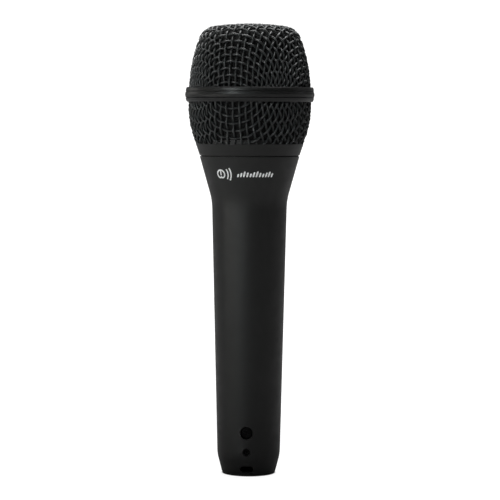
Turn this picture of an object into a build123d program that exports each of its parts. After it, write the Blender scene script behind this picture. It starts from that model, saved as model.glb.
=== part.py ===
from build123d import *
import os
from math import acos, cos, degrees, radians, sin

# A hand-held dynamic vocal microphone, standing on the rim of its connector socket.
# A woven-wire head screws onto the neck of a die-cast handle. The neck carries a moving-coil
# capsule on a rubber mount, and the foot of the handle holds a three-pin connector.
# Millimetres. The origin is the middle of the base rim, +Z runs up the handle, -Y is the front.
# A (radius, height) pair is a point of a turned outline.

# ---- driving dimensions: outside -------------------------------------------------------------
TOTAL_HEIGHT = 179.5
RIM_RADIUS = 10.6
RIM_THICKNESS = 0.7

HANDLE_EDGE = (10.8, 0.95)
HANDLE_KNEE = (12.56, 7.75)
HANDLE_WAIST = (14.96, 109.4)
HANDLE_SHOULDER = (19.85, 126.8)
KNEE_ROUND = 18.0
WAIST_ROUND = 24.0
HANDLE_WALL = 2.0

SEAL_THICKNESS = 0.4
COLLAR_BOTTOM = HANDLE_SHOULDER[1] + SEAL_THICKNESS
COLLAR_TOP = 131.8
COLLAR_BOTTOM_RADIUS = 19.95
COLLAR_TOP_RADIUS = 21.45

BAND_BOTTOM = 148.4
BAND_TOP = 154.2
BAND_RADIUS = 25.75
BAND_BORE = 24.75
WEB_BOTTOM = 150.3
WEB_TOP = 152.3
WEB_BORE = 22.7

LOWER_GRILLE_RADIUS = 24.5
LOWER_GRILLE_WIDEST = 146.5
LOWER_GRILLE_ARC = 37.0

CROWN_ARC = 100.0
CROWN_ANGLE = radians(8.4)
SHOULDER_ARC = 7.15
SHOULDER_ANGLE = radians(69.0)
SIDE_ARC = 61.0

GRILLE_WALL = 1.0
FOAM_DEPTH = 1.8
FOAM_THICKNESS = 3.0

# ---- driving dimensions: screw joint of the head ------------------------------------------------
THREAD_PITCH = 1.0
THREAD_CORE_RADIUS = 16.8
THREAD_CREST_RADIUS = 17.35
THREAD_ROOT_WIDTH = 0.8
THREAD_CREST_WIDTH = 0.15
THREAD_TURNS = 4
COLLAR_BORE = 17.5
NECK_SEAT_RADIUS = 16.0
NECK_BORE = 14.6
NECK_SEAT_BOTTOM = 119.8
NECK_TOP = 132.0

# ---- driving dimensions: connector socket -------------------------------------------------------
SOCKET_RADIUS = 8.05
SOCKET_LEAD_IN = 0.35
BARREL_RADIUS = 9.95
BARREL_SEAT_RADIUS = 10.0
BARREL_TOP = 22.3
LATCH_HEIGHT = 2.9
LATCH_WIDTH = 5.2
LATCH_GAP = 2.4
LATCH_GROOVE_RADIUS = 8.55
INSERT_RADIUS = 8.55
INSERT_SEAT_RADIUS = 8.6
INSERT_BOTTOM = 14.5
INSERT_TOP = 20.5
PIN_CIRCLE = 4.7
PIN_ANGLES = {"contact_pin_1": 207.0, "contact_pin_2": 333.0, "contact_pin_3": 90.0}
PIN_RADIUS = 1.19
PIN_SHOULDER_RADIUS = 1.4
PIN_TIP = 4.4
PIN_TIP_HEIGHT = 0.8
CUP_RADIUS = 1.05
CUP_BORE = 0.7
CUP_TOP = 25.0
CUP_DEPTH = 3.0

INSERT_SCREW_HEIGHT = 17.6
INSERT_SCREW_TIP = 4.5
SCREW_RECESS_RADIUS = 2.5
SCREW_RECESS_FLOOR = 10.7
SCREW_HEAD_RADIUS = 2.3
SCREW_HEAD_THICKNESS = 1.1
SCREW_SHANK_RADIUS = 1.25
SCREW_CLEARANCE_RADIUS = 1.6
SET_SCREW_HEIGHT = 9.85
SET_SCREW_RADIUS = 1.25
SET_SCREW_HOLE_RADIUS = 1.4
SET_SCREW_INNER = 8.45
SET_SCREW_OUTER = 10.9

# ---- driving dimensions: capsule ------------------------------------------------------------------
CAPSULE_RADIUS = 14.5
CAPSULE_BORE = 13.6
CAPSULE_BOTTOM = 141.0
CAPSULE_TOP = 161.5
CAPSULE_FLOOR = 142.4
CHAMBER_RADIUS = 12.4
CHAMBER_BOTTOM = 126.0
CHAMBER_WALL = 1.0
YOKE_RADIUS = 12.4
YOKE_BOTTOM = 143.0
YOKE_FLOOR = 145.0
GAP_BOTTOM = 152.9
GAP_TOP = 154.9
MAGNET_RADIUS = 7.0
POLE_RADIUS = 7.7
COIL_INNER_RADIUS = 8.05
COIL_OUTER_RADIUS = 8.5
PLATE_BORE = 8.85
SURROUND_HEIGHT = 156.9
SURROUND_THICKNESS = 0.2
DOME_HEIGHT = 2.7
DOME_THICKNESS = 0.12
BOARD_TOP = CHAMBER_BOTTOM
BOARD_THICKNESS = 1.4
BOARD_RADIUS = 9.0
TAG_OFFSET = 4.0
TAG_LENGTH = 3.0
LEAD_RADIUS = 0.55

# ---- driving dimensions: capsule mount ------------------------------------------------------------
MOUNT_RADIUS = THREAD_CORE_RADIUS - 0.2
FLANGE_TOP = NECK_TOP + 1.4
MOUNT_RING_TOP = FLANGE_TOP + 1.2
MOUNT_SCREW_ANGLES = (30, 150, 270)
MOUNT_SCREW_CIRCLE = 15.7
MOUNT_SCREW_RADIUS = 0.7
MOUNT_SCREW_TIP = 128.0


# ---- helpers ---------------------------------------------------------------------------------------
def lathe(*lines):
    """A solid turned about Z from a closed outline of lines given as (radius, height)."""
    edges = [edge for line in lines for edge in line.edges()]
    return revolve(Plane.XZ * make_face(edges), Axis.Z)


def turned(*points):
    """A solid turned about Z from a closed outline of straight lines."""
    return lathe(Polyline(*points, close=True))


def tube(outer, inner, bottom, top):
    """A plain ring."""
    return turned((inner, bottom), (outer, bottom), (outer, top), (inner, top))


def disc(radius, bottom, top):
    """A plain round plate on the axis."""
    upright = (Align.CENTER, Align.CENTER, Align.MIN)
    return Pos(0, 0, bottom) * Cylinder(radius, top - bottom, align=upright)


def front_rod(radius, height, inner, outer):
    """A horizontal cylinder that runs from y = -inner out to y = -outer at a height."""
    middle = -(inner + outer) / 2
    return Pos(0, middle, height) * Rot(90, 0, 0) * Cylinder(radius, outer - inner)


def arc_about(centre, radius, start, end):
    """An arc between two directions, each measured from straight up towards +radius."""
    return CenterArc(centre, radius, 90 - degrees(start), degrees(start - end))


def along(centre, radius, angle):
    """The point at a direction from straight up, at a distance from a centre."""
    return (centre[0] + radius * sin(angle), centre[1] + radius * cos(angle))


# ---- head ------------------------------------------------------------------------------------------
def dome_line(depth, bottom):
    """The dome's outline at a depth under its surface, from the crown down to a height.

    Three tangent arcs: a flat crown, a tight shoulder and a long side. Returns the arcs,
    the point on the axis and the point at the bottom.
    """
    crown_centre = (0, TOTAL_HEIGHT - CROWN_ARC)
    shoulder_centre = along(crown_centre, CROWN_ARC - SHOULDER_ARC, CROWN_ANGLE)
    side_centre = along(shoulder_centre, SHOULDER_ARC - SIDE_ARC, SHOULDER_ANGLE)
    bottom_angle = acos((bottom - side_centre[1]) / (SIDE_ARC - depth))
    arcs = [
        arc_about(crown_centre, CROWN_ARC - depth, 0, CROWN_ANGLE),
        arc_about(shoulder_centre, SHOULDER_ARC - depth, CROWN_ANGLE, SHOULDER_ANGLE),
        arc_about(side_centre, SIDE_ARC - depth, SHOULDER_ANGLE, bottom_angle),
    ]
    return arcs, (0, TOTAL_HEIGHT - depth), along(side_centre, SIDE_ARC - depth, bottom_angle)


def dome_shell(depth, thickness, bottom):
    """A shell that follows the dome, closed at the crown and open below."""
    outer, outer_top, outer_end = dome_line(depth, bottom)
    inner, inner_top, inner_end = dome_line(depth + thickness, bottom)
    return lathe(*outer, *inner, Line(outer_top, inner_top), Line(outer_end, inner_end))


def skirt_shell(depth, thickness, bottom, top):
    """A ring-shaped shell that follows the lower grille's single arc."""
    centre = (LOWER_GRILLE_RADIUS - LOWER_GRILLE_ARC, LOWER_GRILLE_WIDEST)
    arcs = []
    ends = []
    for radius in (LOWER_GRILLE_ARC - depth, LOWER_GRILLE_ARC - depth - thickness):
        high = acos((top - centre[1]) / radius)
        low = acos((bottom - centre[1]) / radius)
        arcs.append(arc_about(centre, radius, high, low))
        ends.append((along(centre, radius, high), along(centre, radius, low)))
    (outer_high, outer_low), (inner_high, inner_low) = ends
    return lathe(*arcs, Line(outer_high, inner_high), Line(outer_low, inner_low))


def upper_grille():
    """Closed stand-in for the woven wire above the band."""
    return dome_shell(0, GRILLE_WALL, WEB_TOP)


def lower_grille():
    """Closed stand-in for the woven wire between the collar and the band."""
    return skirt_shell(0, GRILLE_WALL, COLLAR_TOP, WEB_BOTTOM)


def upper_foam():
    """Pop filter lining the upper grille."""
    return dome_shell(FOAM_DEPTH, FOAM_THICKNESS, WEB_TOP + 0.7)


def lower_foam():
    """Pop filter lining the lower grille."""
    return skirt_shell(FOAM_DEPTH, FOAM_THICKNESS, COLLAR_TOP + 2.2, WEB_BOTTOM - 0.7)


def grille_band():
    """Ring around the widest part of the head, with two turned grooves and a web inside."""
    groove_depth = 0.3
    groove_width = 0.35
    lower_groove = 150.05
    upper_groove = 152.5
    middle = (lower_groove + upper_groove) / 2
    return turned(
        (BAND_BORE, BAND_BOTTOM),
        (24.95, BAND_BOTTOM),
        (25.3, BAND_BOTTOM + 0.6),
        (25.55, lower_groove - groove_width / 2),
        (25.55 - groove_depth, lower_groove),
        (25.55, lower_groove + groove_width / 2),
        (BAND_RADIUS, middle),
        (25.55, upper_groove - groove_width / 2),
        (25.55 - groove_depth, upper_groove),
        (25.5, upper_groove + groove_width / 2),
        (25.35, BAND_TOP - 0.5),
        (25.05, BAND_TOP),
        (BAND_BORE, BAND_TOP),
        (BAND_BORE, WEB_TOP),
        (WEB_BORE, WEB_TOP),
        (WEB_BORE, WEB_BOTTOM),
        (BAND_BORE, WEB_BOTTOM),
    )


def grille_collar():
    """Lower ring of the head: a cone outside, and a bore that screws onto the neck."""
    spigot_radius = 20.3
    spigot_top = COLLAR_TOP + 1.6
    break_edge = 0.2
    return turned(
        (COLLAR_BORE + break_edge, COLLAR_BOTTOM),
        (COLLAR_BOTTOM_RADIUS - break_edge, COLLAR_BOTTOM),
        (COLLAR_BOTTOM_RADIUS, COLLAR_BOTTOM + break_edge),
        (COLLAR_TOP_RADIUS, COLLAR_TOP),
        (spigot_radius, COLLAR_TOP),
        (spigot_radius, spigot_top),
        (COLLAR_BORE, spigot_top),
        (COLLAR_BORE, COLLAR_BOTTOM + break_edge),
    )


def seal_ring():
    """Thin washer between the handle's shoulder and the collar."""
    return tube(19.4, 17.7, HANDLE_SHOULDER[1], COLLAR_BOTTOM)


# ---- handle ----------------------------------------------------------------------------------------
def handle_radius(height):
    """Outer radius of the handle's long taper at a height."""
    (low_radius, low), (high_radius, high) = HANDLE_KNEE, HANDLE_WAIST
    return low_radius + (high_radius - low_radius) * (height - low) / (high - low)


def handle_housing():
    """Die-cast shell: a short cone, a long taper and a flared shoulder, hollow all through."""
    skin = FilletPolyline(
        HANDLE_EDGE, HANDLE_KNEE, HANDLE_WAIST, HANDLE_SHOULDER, radius=[KNEE_ROUND, WAIST_ROUND]
    )
    cavity_bottom = BARREL_TOP + 0.2
    cavity_waist = HANDLE_WAIST[1] + 0.5
    inside = Polyline(
        HANDLE_SHOULDER,
        (NECK_SEAT_RADIUS, HANDLE_SHOULDER[1]),
        (NECK_SEAT_RADIUS, NECK_SEAT_BOTTOM),
        (NECK_SEAT_RADIUS - 1.1, NECK_SEAT_BOTTOM),
        (handle_radius(cavity_waist) - HANDLE_WALL, cavity_waist),
        (handle_radius(cavity_bottom) - HANDLE_WALL, cavity_bottom),
        (BARREL_SEAT_RADIUS, cavity_bottom),
        (BARREL_SEAT_RADIUS, RIM_THICKNESS),
        (HANDLE_EDGE[0] - 0.25, RIM_THICKNESS),
        HANDLE_EDGE,
    )
    shell = lathe(skin, inside)
    outside = 2 * RIM_RADIUS
    shell -= latch_window()
    shell -= front_rod(SCREW_RECESS_RADIUS, INSERT_SCREW_HEIGHT, SCREW_RECESS_FLOOR, outside)
    shell -= front_rod(SCREW_CLEARANCE_RADIUS, INSERT_SCREW_HEIGHT, SOCKET_RADIUS, outside)
    shell -= front_rod(SET_SCREW_HOLE_RADIUS, SET_SCREW_HEIGHT, SOCKET_RADIUS, outside)
    shell -= set_screw_countersink()
    return shell


def latch_window():
    """Round-ended slot through the front wall, where the cable connector's latch engages."""
    outline = SlotOverall(LATCH_WIDTH, LATCH_GAP)
    return extrude(Plane.XZ * Pos(0, LATCH_HEIGHT) * outline, RIM_RADIUS * 2)


def set_screw_countersink():
    """Small cone that breaks the outer edge of the set screw's hole."""
    surface = handle_radius(SET_SCREW_HEIGHT)
    size = 0.3
    cone = Cone(SET_SCREW_HOLE_RADIUS, SET_SCREW_HOLE_RADIUS + 2 * size, 2 * size)
    return Pos(0, -surface, SET_SCREW_HEIGHT) * Rot(90, 0, 0) * cone


def neck_thread_ring():
    """Turned ring pressed into the top of the handle, with the male thread for the head."""
    core = turned(
        (NECK_BORE, NECK_SEAT_BOTTOM),
        (NECK_SEAT_RADIUS, NECK_SEAT_BOTTOM),
        (NECK_SEAT_RADIUS, HANDLE_SHOULDER[1]),
        (THREAD_CORE_RADIUS, HANDLE_SHOULDER[1]),
        (THREAD_CORE_RADIUS, NECK_TOP),
        (NECK_BORE, NECK_TOP),
    )
    return with_mount_holes(core + thread_ridge(), MOUNT_SCREW_RADIUS, MOUNT_SCREW_TIP, NECK_TOP)


def thread_ridge():
    """The ridge of the male thread: a trapezium swept up a right-hand helix."""
    bottom = 127.4
    sunk = 0.1
    path = Pos(0, 0, bottom) * Helix(THREAD_PITCH, THREAD_PITCH * THREAD_TURNS, THREAD_CORE_RADIUS)
    root = THREAD_ROOT_WIDTH / 2
    crest = THREAD_CREST_WIDTH / 2
    height = THREAD_CREST_RADIUS - THREAD_CORE_RADIUS
    outline = Polyline((-sunk, -root), (height, -crest), (height, crest), (-sunk, root), close=True)
    start = Plane(origin=path @ 0, x_dir=(1, 0, 0), z_dir=path % 0)
    return sweep(start * make_face(outline), path, is_frenet=True)


# ---- connector -------------------------------------------------------------------------------------
def connector_barrel():
    """Socket sleeve with the rim that the microphone stands on."""
    groove_bottom = LATCH_HEIGHT - LATCH_GAP / 2
    groove_top = LATCH_HEIGHT + LATCH_GAP / 2
    sleeve = turned(
        (SOCKET_RADIUS + SOCKET_LEAD_IN, 0),
        (RIM_RADIUS - 0.15, 0),
        (RIM_RADIUS, 0.15),
        (RIM_RADIUS, RIM_THICKNESS),
        (BARREL_RADIUS, RIM_THICKNESS),
        (BARREL_RADIUS, BARREL_TOP),
        (INSERT_SEAT_RADIUS, BARREL_TOP),
        (INSERT_SEAT_RADIUS, INSERT_BOTTOM),
        (SOCKET_RADIUS, INSERT_BOTTOM),
        (SOCKET_RADIUS, groove_top),
        (LATCH_GROOVE_RADIUS, groove_top),
        (LATCH_GROOVE_RADIUS, groove_bottom),
        (SOCKET_RADIUS, groove_bottom),
        (SOCKET_RADIUS, SOCKET_LEAD_IN),
    )
    sleeve -= latch_window()
    sleeve -= front_rod(SCREW_CLEARANCE_RADIUS, INSERT_SCREW_HEIGHT, 0, BARREL_RADIUS + 1)
    sleeve -= front_rod(SET_SCREW_RADIUS, SET_SCREW_HEIGHT, SET_SCREW_INNER, BARREL_RADIUS + 1)
    return sleeve


def connector_insert():
    """Moulded disc that holds the three contacts."""
    insert = disc(INSERT_RADIUS, INSERT_BOTTOM, INSERT_TOP)
    hole = Pos(PIN_CIRCLE, 0, 0) * disc(PIN_SHOULDER_RADIUS, INSERT_BOTTOM, INSERT_TOP)
    for angle in PIN_ANGLES.values():
        insert -= Rot(0, 0, angle) * hole
    insert -= front_rod(SCREW_SHANK_RADIUS, INSERT_SCREW_HEIGHT, INSERT_SCREW_TIP, INSERT_RADIUS + 1)
    return insert


def contact_pin(angle):
    """One contact: a round-nosed pin below the insert and a solder cup above it."""
    nose = PIN_TIP + PIN_TIP_HEIGHT
    outline = Polyline(
        (PIN_RADIUS, nose),
        (PIN_RADIUS, INSERT_BOTTOM),
        (PIN_SHOULDER_RADIUS, INSERT_BOTTOM),
        (PIN_SHOULDER_RADIUS, INSERT_TOP),
        (CUP_RADIUS, INSERT_TOP),
        (CUP_RADIUS, CUP_TOP),
        (CUP_BORE, CUP_TOP),
        (CUP_BORE, CUP_TOP - CUP_DEPTH),
        (0, CUP_TOP - CUP_DEPTH),
        (0, PIN_TIP),
    )
    tip = TangentArc((PIN_RADIUS, nose), (0, PIN_TIP), tangent=(0, -1))
    return Rot(0, 0, angle) * Pos(PIN_CIRCLE, 0, 0) * lathe(outline, tip)


def insert_screw():
    """Cross-head screw in the deep recess at the front, which holds the insert."""
    head_face = SCREW_RECESS_FLOOR + SCREW_HEAD_THICKNESS
    screw = front_rod(SCREW_HEAD_RADIUS, INSERT_SCREW_HEIGHT, SCREW_RECESS_FLOOR, head_face)
    screw = fillet(screw.edges().sort_by(Axis.Y)[0], 0.45)
    screw += front_rod(SCREW_SHANK_RADIUS, INSERT_SCREW_HEIGHT, INSERT_SCREW_TIP, SCREW_RECESS_FLOOR)
    cross_depth = 0.7
    cross_length = 2.6
    cross_width = 0.6
    inward = (Align.CENTER, Align.MIN, Align.CENTER)
    arm = Box(cross_length, cross_depth, cross_width, align=inward)
    for turn in (20, 110):
        screw -= Pos(0, -head_face, INSERT_SCREW_HEIGHT) * Rot(0, turn, 0) * arm
    return screw


def barrel_set_screw():
    """Small headless screw that locks the socket sleeve in the handle."""
    screw = front_rod(SET_SCREW_RADIUS, SET_SCREW_HEIGHT, SET_SCREW_INNER, SET_SCREW_OUTER)
    socket_depth = 1.1
    hexagon = RegularPolygon(0.72, 6)
    floor = -(SET_SCREW_OUTER - socket_depth)
    socket = extrude(Plane.XZ.offset(-floor) * Pos(0, SET_SCREW_HEIGHT) * hexagon, socket_depth)
    return screw - socket


def ground_tab():
    """Flat strip that joins contact 1 to the socket sleeve."""
    thickness = 0.3
    width = 3.2
    top = INSERT_TOP + thickness
    outward = (Align.MIN, Align.CENTER, Align.MIN)
    strip = Pos(PIN_CIRCLE, 0, INSERT_TOP) * Box(INSERT_RADIUS, width, thickness, align=outward)
    eye = Pos(PIN_CIRCLE, 0, 0) * disc(width / 2, INSERT_TOP, top)
    hole = Pos(PIN_CIRCLE, 0, 0) * disc(CUP_RADIUS + 0.05, INSERT_TOP, top)
    tab = (strip + eye) & disc(INSERT_RADIUS, INSERT_TOP, top)
    return Rot(0, 0, PIN_ANGLES["contact_pin_1"]) * (tab - hole)


def lead(pin, side):
    """Insulated wire from a solder cup up one side of the handle to a tag under the capsule."""
    angle = radians(PIN_ANGLES[pin])
    cup_x = PIN_CIRCLE * cos(angle)
    cup_y = PIN_CIRCLE * sin(angle)
    tag_bottom = BOARD_TOP - BOARD_THICKNESS - TAG_LENGTH
    path = FilletPolyline(
        (cup_x, cup_y, CUP_TOP - CUP_DEPTH + 0.2),
        (cup_x, cup_y, 34),
        (side * 3.2, -side * 3.0, 58),
        (-side * 1.8, -side * 2.8, 86),
        (side * TAG_OFFSET, 0, 110),
        (side * TAG_OFFSET, 0, tag_bottom),
        radius=[30, 50, 50, 30],
    )
    start = Plane(origin=path @ 0, z_dir=path % 0)
    return sweep(start * Circle(LEAD_RADIUS), path)


# ---- capsule mount ---------------------------------------------------------------------------------
def with_mount_holes(ring, radius, bottom, top):
    """The same ring with a hole for each mount screw."""
    for angle in MOUNT_SCREW_ANGLES:
        ring -= Rot(0, 0, angle) * Pos(MOUNT_SCREW_CIRCLE, 0, 0) * disc(radius, bottom, top)
    return ring


def shock_mount():
    """Rubber ring: a flange on the neck and a sleeve that grips the capsule's rear chamber."""
    grip = CHAMBER_RADIUS + 0.05
    ring = turned(
        (grip, NECK_TOP + 0.6),
        (14.0, NECK_TOP),
        (MOUNT_RADIUS, NECK_TOP),
        (MOUNT_RADIUS, FLANGE_TOP),
        (grip + 1.0, FLANGE_TOP),
        (grip + 1.0, FLANGE_TOP + 5.5),
        (grip, FLANGE_TOP + 5.5),
    )
    return with_mount_holes(ring, MOUNT_SCREW_RADIUS + 0.1, NECK_TOP, FLANGE_TOP)


def mount_ring():
    """Metal ring that clamps the rubber flange to the neck."""
    ring = tube(MOUNT_RADIUS, 14.4, FLANGE_TOP, MOUNT_RING_TOP)
    return with_mount_holes(ring, MOUNT_SCREW_RADIUS + 0.1, FLANGE_TOP, MOUNT_RING_TOP)


def mount_screws():
    """Three small pan-head screws through the mount ring into the neck."""
    head_radius = 1.15
    head_thickness = 0.8
    screw = disc(MOUNT_SCREW_RADIUS, MOUNT_SCREW_TIP, MOUNT_RING_TOP)
    screw += disc(head_radius, MOUNT_RING_TOP, MOUNT_RING_TOP + head_thickness)
    screw -= Pos(0, 0, MOUNT_RING_TOP + head_thickness) * Box(2 * head_radius, 0.3, 0.6)
    return [Rot(0, 0, angle) * Pos(MOUNT_SCREW_CIRCLE, 0, 0) * screw for angle in MOUNT_SCREW_ANGLES]


# ---- capsule ---------------------------------------------------------------------------------------
def capsule_shell():
    """Cup that holds the motor, with a row of rear sound ports above its floor."""
    shell = turned(
        (5.0, CAPSULE_BOTTOM),
        (CAPSULE_RADIUS - 0.5, CAPSULE_BOTTOM),
        (CAPSULE_RADIUS, CAPSULE_BOTTOM + 0.5),
        (CAPSULE_RADIUS, CAPSULE_TOP),
        (CAPSULE_BORE, CAPSULE_TOP),
        (CAPSULE_BORE, CAPSULE_FLOOR),
        (5.0, CAPSULE_FLOOR),
    )
    port_count = 10
    port_width = 4.0
    port_height = 3.0
    for turn in range(port_count):
        port = Pos(CAPSULE_RADIUS, 0, CAPSULE_FLOOR + 3.0) * Box(4, port_width, port_height)
        shell -= Rot(0, 0, turn * 360 / port_count) * port
    return shell


def rear_chamber():
    """Closed cup of air behind the motor, gripped by the rubber mount."""
    return turned(
        (0, CHAMBER_BOTTOM),
        (CHAMBER_RADIUS, CHAMBER_BOTTOM),
        (CHAMBER_RADIUS, CAPSULE_BOTTOM),
        (CHAMBER_RADIUS - CHAMBER_WALL, CAPSULE_BOTTOM),
        (CHAMBER_RADIUS - CHAMBER_WALL, CHAMBER_BOTTOM + CHAMBER_WALL),
        (0, CHAMBER_BOTTOM + CHAMBER_WALL),
    )


def terminal_board():
    """Round board under the rear chamber that carries the solder tags."""
    return disc(BOARD_RADIUS, BOARD_TOP - BOARD_THICKNESS, BOARD_TOP)


def solder_tags():
    """Two flat tags hanging from the board, one for each lead."""
    size = (1.8, 0.5, TAG_LENGTH)
    top = BOARD_TOP - BOARD_THICKNESS
    tag = Box(*size, align=(Align.CENTER, Align.CENTER, Align.MAX))
    return [Pos(side * TAG_OFFSET, 0, top) * tag for side in (-1, 1)]


def damping_felt():
    """Felt washer over the port in the capsule's floor."""
    return tube(11.5, 2.0, CAPSULE_FLOOR, YOKE_BOTTOM)


def yoke_cup():
    """Soft-iron cup that returns the magnet's flux."""
    return turned(
        (0, YOKE_BOTTOM),
        (YOKE_RADIUS, YOKE_BOTTOM),
        (YOKE_RADIUS, GAP_BOTTOM),
        (YOKE_RADIUS - 2.0, GAP_BOTTOM),
        (YOKE_RADIUS - 2.0, YOKE_FLOOR),
        (0, YOKE_FLOOR),
    )


def magnet():
    """Round magnet on the yoke's floor."""
    return disc(MAGNET_RADIUS, YOKE_FLOOR, GAP_BOTTOM - 0.4)


def pole_piece():
    """Soft-iron disc that forms the inner side of the magnetic gap."""
    return disc(POLE_RADIUS, GAP_BOTTOM - 0.4, GAP_TOP)


def top_plate():
    """Soft-iron ring that forms the outer side of the magnetic gap."""
    return tube(YOKE_RADIUS, PLATE_BORE, GAP_BOTTOM, GAP_TOP)


def surround_ring():
    """Spacer that lifts the diaphragm's edge clear of the top plate."""
    return tube(CAPSULE_BORE - 0.05, 12.0, GAP_TOP, SURROUND_HEIGHT)


def diaphragm_surround():
    """Flexible film between the dome and the clamped edge."""
    bottom = SURROUND_HEIGHT
    top = bottom + SURROUND_THICKNESS
    clamped = 12.0
    middle = (COIL_OUTER_RADIUS + clamped) / 2
    roll = 0.8
    outer_edge = CAPSULE_BORE - 0.1
    inner_edge = COIL_OUTER_RADIUS + 0.05
    under = ThreePointArc((inner_edge, bottom), (middle, bottom + roll), (clamped, bottom))
    over = ThreePointArc((inner_edge, top), (middle, top + roll), (clamped, top))
    rim = Polyline((clamped, bottom), (outer_edge, bottom), (outer_edge, top), (clamped, top))
    return lathe(under, rim, over, Line((inner_edge, top), (inner_edge, bottom)))


def clamp_ring():
    """Ring that clamps the diaphragm's edge."""
    bottom = SURROUND_HEIGHT + SURROUND_THICKNESS
    return tube(CAPSULE_BORE - 0.05, 12.3, bottom, bottom + 1.6)


def diaphragm_dome():
    """Thin domed film at the centre of the diaphragm."""
    crown = SURROUND_HEIGHT + DOME_HEIGHT
    inner_radius = COIL_OUTER_RADIUS - DOME_THICKNESS
    inner_crown = crown - DOME_THICKNESS
    outer = cap_arc(COIL_OUTER_RADIUS, SURROUND_HEIGHT, crown)
    inner = cap_arc(inner_radius, SURROUND_HEIGHT, inner_crown)
    foot = Line((inner_radius, SURROUND_HEIGHT), (COIL_OUTER_RADIUS, SURROUND_HEIGHT))
    return lathe(outer, inner, foot, Line((0, crown), (0, inner_crown)))


def cap_arc(radius, base, crown):
    """Arc of a shallow dome from its edge to its crown, level at the crown."""
    return TangentArc((0, crown), (radius, base), tangent=(1, 0))


def voice_coil():
    """Coil under the dome, hanging in the magnetic gap."""
    return tube(COIL_OUTER_RADIUS, COIL_INNER_RADIUS, GAP_BOTTOM - 0.6, SURROUND_HEIGHT)


def front_cap():
    """Perforated plate over the diaphragm that tunes the high frequencies."""
    bottom = CAPSULE_TOP - 1.4
    plate = disc(CAPSULE_BORE - 0.05, bottom, CAPSULE_TOP)
    hole = disc(1.5, bottom, CAPSULE_TOP)
    plate -= hole
    for ring_radius, count in ((5.0, 6), (10.0, 12)):
        for turn in range(count):
            plate -= Rot(0, 0, turn * 360 / count) * Pos(ring_radius, 0, 0) * hole
    return plate


def front_screen():
    """Fine wire gauze disc on the face of the capsule."""
    return disc(CAPSULE_RADIUS - 0.4, CAPSULE_TOP, CAPSULE_TOP + 0.3)


# ---- export ----------------------------------------------------------------------------------------
NODES = {
    "upper_grille": upper_grille(),
    "lower_grille": lower_grille(),
    "grille_band": grille_band(),
    "grille_collar": grille_collar(),
    "upper_foam": upper_foam(),
    "lower_foam": lower_foam(),
    "seal_ring": seal_ring(),
    "handle_housing": handle_housing(),
    "neck_thread_ring": neck_thread_ring(),
    "connector_barrel": connector_barrel(),
    "connector_insert": connector_insert(),
    "insert_screw": insert_screw(),
    "barrel_set_screw": barrel_set_screw(),
    "ground_tab": ground_tab(),
    "lead_hot": lead("contact_pin_2", 1),
    "lead_cold": lead("contact_pin_3", -1),
    "shock_mount": shock_mount(),
    "mount_ring": mount_ring(),
    "mount_screws": mount_screws(),
    "capsule_shell": capsule_shell(),
    "rear_chamber": rear_chamber(),
    "terminal_board": terminal_board(),
    "solder_tags": solder_tags(),
    "damping_felt": damping_felt(),
    "yoke_cup": yoke_cup(),
    "magnet": magnet(),
    "pole_piece": pole_piece(),
    "top_plate": top_plate(),
    "surround_ring": surround_ring(),
    "diaphragm_surround": diaphragm_surround(),
    "clamp_ring": clamp_ring(),
    "diaphragm_dome": diaphragm_dome(),
    "voice_coil": voice_coil(),
    "front_cap": front_cap(),
    "front_screen": front_screen(),
}
for pin, angle in PIN_ANGLES.items():
    NODES[pin] = contact_pin(angle)

os.makedirs("parts", exist_ok=True)
for name, shape in NODES.items():
    solids = Compound(children=shape) if isinstance(shape, list) else shape
    export_step(solids, f"parts/{name}.step")
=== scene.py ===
from math import atan2, cos, pi, radians, sin, sqrt

import bmesh
import bpy
import numpy as np
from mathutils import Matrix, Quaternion, Vector
from mathutils.bvhtree import BVHTree


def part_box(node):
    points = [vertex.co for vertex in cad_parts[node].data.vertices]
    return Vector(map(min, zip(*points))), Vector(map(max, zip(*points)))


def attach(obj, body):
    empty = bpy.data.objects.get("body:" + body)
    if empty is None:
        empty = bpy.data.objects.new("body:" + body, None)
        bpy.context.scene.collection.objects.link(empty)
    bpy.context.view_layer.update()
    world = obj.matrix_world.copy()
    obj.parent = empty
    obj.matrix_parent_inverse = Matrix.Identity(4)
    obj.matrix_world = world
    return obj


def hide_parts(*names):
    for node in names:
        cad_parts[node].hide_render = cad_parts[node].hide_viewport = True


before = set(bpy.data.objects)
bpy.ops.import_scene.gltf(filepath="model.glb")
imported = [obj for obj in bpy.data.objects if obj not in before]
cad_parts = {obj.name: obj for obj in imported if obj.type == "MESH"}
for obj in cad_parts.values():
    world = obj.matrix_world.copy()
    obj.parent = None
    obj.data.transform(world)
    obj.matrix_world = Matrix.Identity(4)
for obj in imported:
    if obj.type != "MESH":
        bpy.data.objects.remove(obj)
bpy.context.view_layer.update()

MM = 0.001

# =====================================================================================
# camera
# =====================================================================================
CAMERA_DISTANCE = 0.850
CAMERA_AZIMUTH = radians(4.0)
EYE_HEIGHT = 0.143
AIM_HEIGHT = 0.08942
AIM_SIDE = 0.00028
CAMERA_ROLL = radians(0.2)
SENSOR = 36.0
FRAME_WIDTH = 0.19925       # width seen at the camera's distance

camera_data = bpy.data.cameras.new("camera")
camera_data.sensor_width = SENSOR
camera_data.lens = SENSOR * CAMERA_DISTANCE / FRAME_WIDTH
camera_data.clip_start = 0.01
camera_data.clip_end = 20.0
camera = bpy.data.objects.new("camera", camera_data)
bpy.context.scene.collection.objects.link(camera)
camera.location = (
    CAMERA_DISTANCE * sin(CAMERA_AZIMUTH),
    -CAMERA_DISTANCE * cos(CAMERA_AZIMUTH),
    EYE_HEIGHT,
)
look = Vector((AIM_SIDE, 0.0, AIM_HEIGHT)) - camera.location
camera.rotation_mode = "QUATERNION"
camera.rotation_quaternion = look.to_track_quat("-Z", "Y") @ Quaternion((0, 0, 1), CAMERA_ROLL)
bpy.context.scene.camera = camera


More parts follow.
